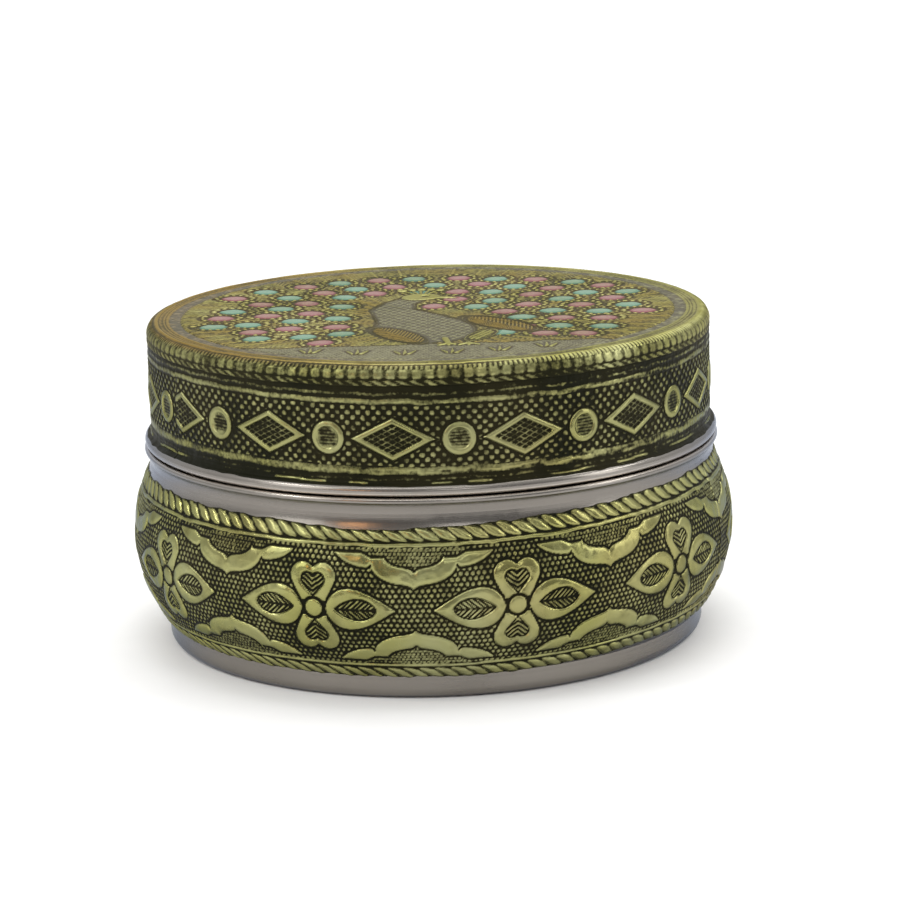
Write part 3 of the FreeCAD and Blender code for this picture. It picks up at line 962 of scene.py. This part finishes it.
half_band = round(math.pi * BAND_R / STEP_U) * STEP_U
for name, start in (("belly_foil_front", BAND_SEAM - half_band), ("belly_foil_back", BAND_SEAM)):
    strip = belly_strip(name, start, half_band)
    dress(strip, belly_foil, "base", "base_foil_band")

half_side = round(math.pi * LID_MID_R / LID_STEP_U) * LID_STEP_U
for name, start, slip in (("lid_foil_front", LID_SEAM, 0.0),
                          ("lid_foil_back", LID_SEAM + half_side, LID_SLIP)):
    strip = lid_strip(name, start, half_side, slip)
    dress(strip, shaded_lid_foil, "lid", "lid_side_foil")

for piece in (top_border(), top_field()):
    dress(piece, top_foil, "lid", "lid_top_foil")

for name in ("base_bowl", "lid_shell"):
    set_material(name, steel)
cups = [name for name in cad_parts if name.startswith("cup_")]
for name in (*cups, "inner_plate", "plate_knob", "knob_rivet", "spoon"):
    set_material(name, bright_steel)


# ---------------------------------------------------------------- stage, light and camera
CENTRE = (0, 0, 50)             # near the middle of the closed box
FLOOR_HALF = 6.0                # in metres


def area_light(name, energy, size, place, colour=(1, 1, 1)):
    """A soft rectangular lamp that faces the box."""
    light = bpy.data.lights.new(name, "AREA")
    light.energy = energy
    light.shape = "RECTANGLE"
    light.size, light.size_y = size
    light.color = colour
    lamp = bpy.data.objects.new(name, light)
    bpy.context.scene.collection.objects.link(lamp)
    lamp.location = Vector(place) * MM
    aim = (Vector(CENTRE) - Vector(place)).normalized()
    lamp.rotation_mode = "QUATERNION"
    lamp.rotation_quaternion = aim.to_track_quat("-Z", "Y")


def sky_panel(strength, wide, direction):
    """A wide, far soft light from the given direction. It lights the floor evenly."""
    light = bpy.data.lights.new("sky panel", "SUN")
    light.energy = strength
    light.angle = math.radians(wide)
    lamp = bpy.data.objects.new("sky panel", light)
    bpy.context.scene.collection.objects.link(lamp)
    lamp.rotation_mode = "QUATERNION"
    lamp.rotation_quaternion = Vector(direction).to_track_quat("Z", "Y")


def stage():
    """The floor the box stands on."""
    corners = [(FLOOR_HALF * x, FLOOR_HALF * y, 0) for x, y in ((-1, -1), (1, -1), (1, 1), (-1, 1))]
    mesh = bpy.data.meshes.new("floor")
    mesh.from_pydata(corners, [], [(0, 1, 2, 3)])
    mesh.materials.append(floor_material())
    floor = bpy.data.objects.new("floor", mesh)
    bpy.context.scene.collection.objects.link(floor)


def surroundings():
    """A soft room: brightest behind and above the box, dimmest low on the camera's side."""
    world = bpy.data.worlds.new("room")
    bpy.context.scene.world = world
    world.use_nodes = True
    tree = world.node_tree
    coordinates = tree.nodes.new("ShaderNodeTexCoord")
    facing = tree.nodes.new("ShaderNodeVectorMath")
    facing.operation = "DOT_PRODUCT"
    facing.inputs[1].default_value = (0, 0.8, 0.6)
    tree.links.new(coordinates.outputs["Generated"], facing.inputs[0])
    spread = tree.nodes.new("ShaderNodeMapRange")
    spread.inputs["From Min"].default_value = -1
    tree.links.new(facing.outputs["Value"], spread.inputs["Value"])
    ramp = tree.nodes.new("ShaderNodeValToRGB")
    tree.links.new(spread.outputs["Result"], ramp.inputs["Fac"])
    dim, bright = ramp.color_ramp.elements
    dim.color = (0.17, 0.17, 0.18, 1)
    dim.position = 0.1
    bright.color = (1, 1, 1, 1)
    bright.position = 0.72
    tree.links.new(ramp.outputs["Color"], tree.nodes["Background"].inputs["Color"])


def photo_camera():
    """The photograph's view: a long lens, a little above the box, rolled a little."""
    distance, elevation, roll = 1000.0, math.radians(13.24), math.radians(1.66)
    aim_right, aim_up = 6.8, 4.8
    data = bpy.data.cameras.new("camera")
    data.sensor_width = 36.0
    data.lens = 124.71003
    data.clip_end = 50
    camera = bpy.data.objects.new("camera", data)
    bpy.context.scene.collection.objects.link(camera)
    centre = Vector(CENTRE)
    back = Vector((0, -math.cos(elevation), math.sin(elevation)))
    place = centre + back * distance
    up = Vector((0, math.sin(elevation), math.cos(elevation)))
    right = Vector((1, 0, 0))
    tilt = Matrix.Rotation(-roll, 3, back)
    target = centre + tilt @ (right * aim_right + up * aim_up)
    forward = (target - place).normalized()
    side = forward.cross(tilt @ up).normalized()
    turn = Matrix((side, side.cross(forward), -forward)).transposed()
    camera.matrix_world = Matrix.Translation(place * MM) @ turn.to_4x4()
    bpy.context.scene.camera = camera


stage()
surroundings()
photo_camera()
area_light("front", energy=0.9, size=(0.7, 0.14), place=(-60, -480, 800))
area_light("window", energy=0.5, size=(0.22, 0.16), place=(160, -900, 430))
area_light("warm wall", energy=0.3, size=(0.16, 0.12), place=(-480, -820, 330),
           colour=(1.0, 0.5, 0.2))
area_light("left", energy=2.2, size=(0.4, 0.7), place=(-700, -500, 500))
area_light("right", energy=1.2, size=(0.25, 0.6), place=(800, -300, 350))
area_light("left glint", energy=0.8, size=(0.12, 0.10), place=(-570, -230, 660))
area_light("right glint", energy=0.7, size=(0.3, 0.10), place=(670, -50, 600))
sky_panel(strength=1.3, wide=60, direction=(0.15, 0.5, 1))
bpy.context.scene.view_settings.view_transform = "Standard"
